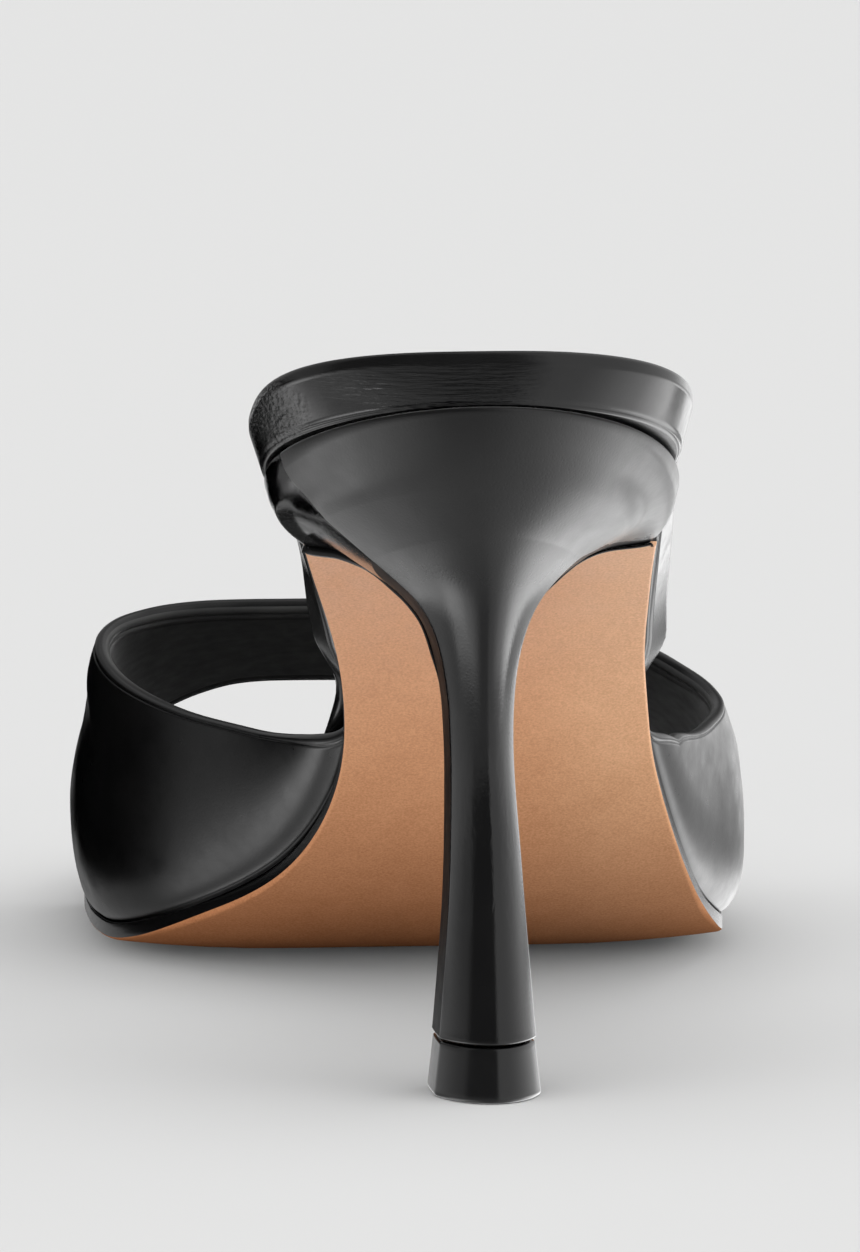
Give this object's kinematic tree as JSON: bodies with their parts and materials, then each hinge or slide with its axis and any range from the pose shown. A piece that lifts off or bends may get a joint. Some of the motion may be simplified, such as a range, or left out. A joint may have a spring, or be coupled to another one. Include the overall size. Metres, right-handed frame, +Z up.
{
  "type": "heeled sandal",
  "caption": "Open-toe heeled mule: a wide leather band over the forefoot, a wrapped footbed, an arched leather outsole and a slim flared stiletto heel.",
  "frame": {"origin": "middle of the bottom of the shoe's box, on the floor it stands on", "axes": "+Z up, +Y from the heel to the toe, +X to the lateral (little toe) side of this right shoe"},
  "size_m": [0.0878, 0.2162, 0.0911],
  "materials": {
    "outsole": "smooth tan sole leather with dark dyed edges",
    "footbed": "semi-gloss black leather wrap",
    "upper": "semi-gloss black leather, fine grain",
    "heel": "heel covered in semi-gloss black leather",
    "top_lift": "glossy black polyurethane"
  },
  "bodies": {
    "root": {"outsole": "outsole", "footbed": "footbed", "upper": "upper", "heel": "heel", "top_lift": "top_lift"}
  },
  "joints": []
}
